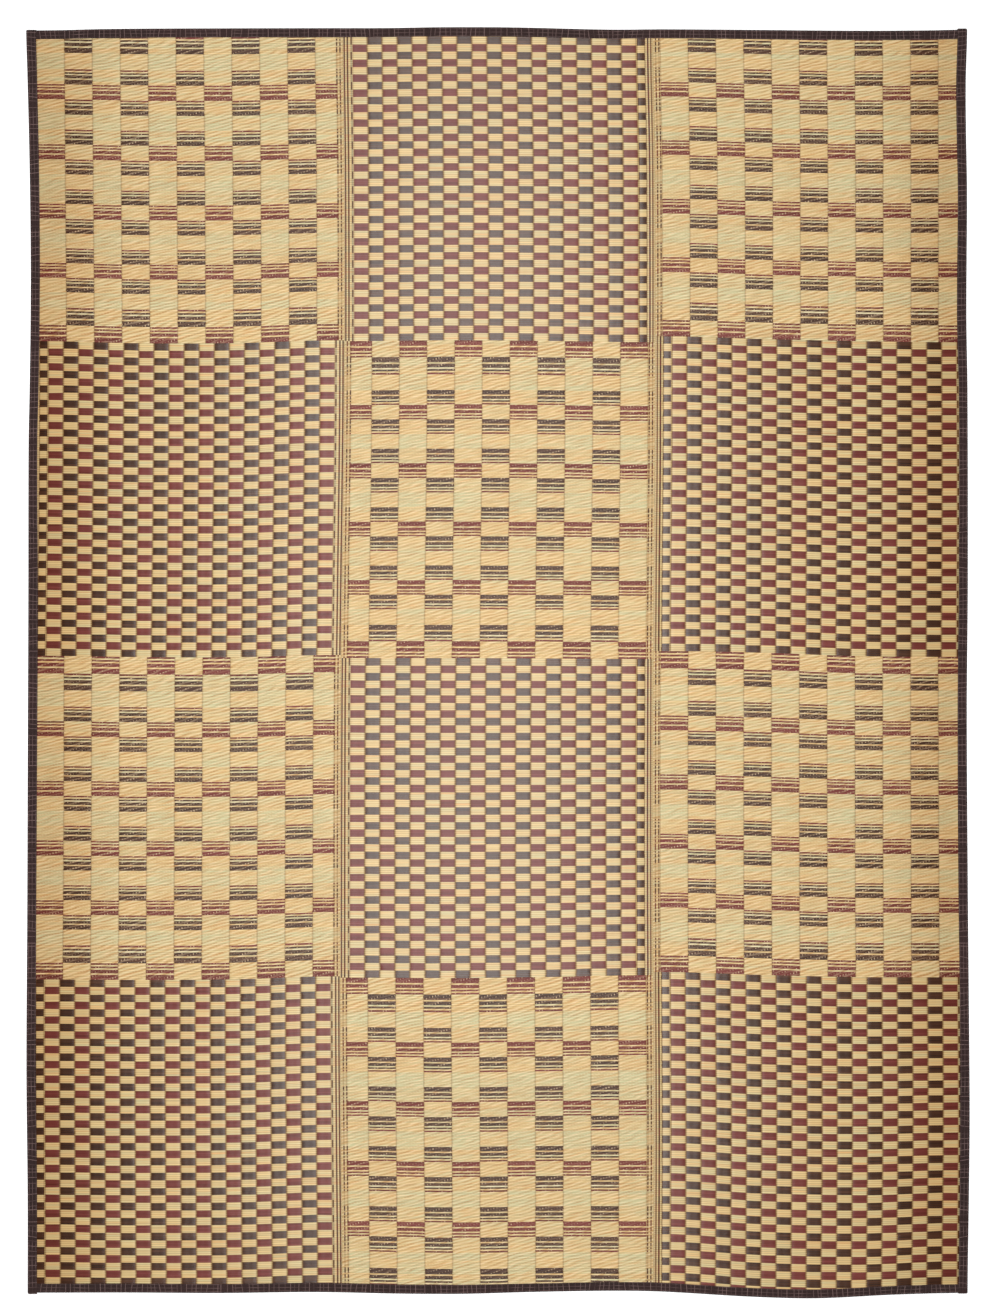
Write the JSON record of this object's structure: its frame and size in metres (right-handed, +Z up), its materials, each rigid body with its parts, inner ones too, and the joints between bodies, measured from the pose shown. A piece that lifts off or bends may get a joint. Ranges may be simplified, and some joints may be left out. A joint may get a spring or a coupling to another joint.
{
  "type": "rush rug",
  "caption": "Large rush floor rug, laid flat: woven strips side by side in blocks of checks and stripes, bound all round with dark cloth.",
  "frame": {"origin": "centre of the underside of the rug's outer box, on the floor", "axes": "+Y along the woven strips, towards the end at the top of the picture; +X across them to the right; +Z up out of the face"},
  "size_m": [2.6248, 3.5364, 0.004],
  "materials": {
    "rush": "dry woven rush, matt with a soft sheen along the stems",
    "binding": "matt dark brown cloth tape with fine paler threads"
  },
  "bodies": {
    "root": {"rush_strip_left": "rush", "rush_strip_middle": "rush", "rush_strip_right": "rush", "binding_left": "binding", "binding_right": "binding", "binding_far": "binding", "binding_near": "binding"}
  },
  "joints": []
}
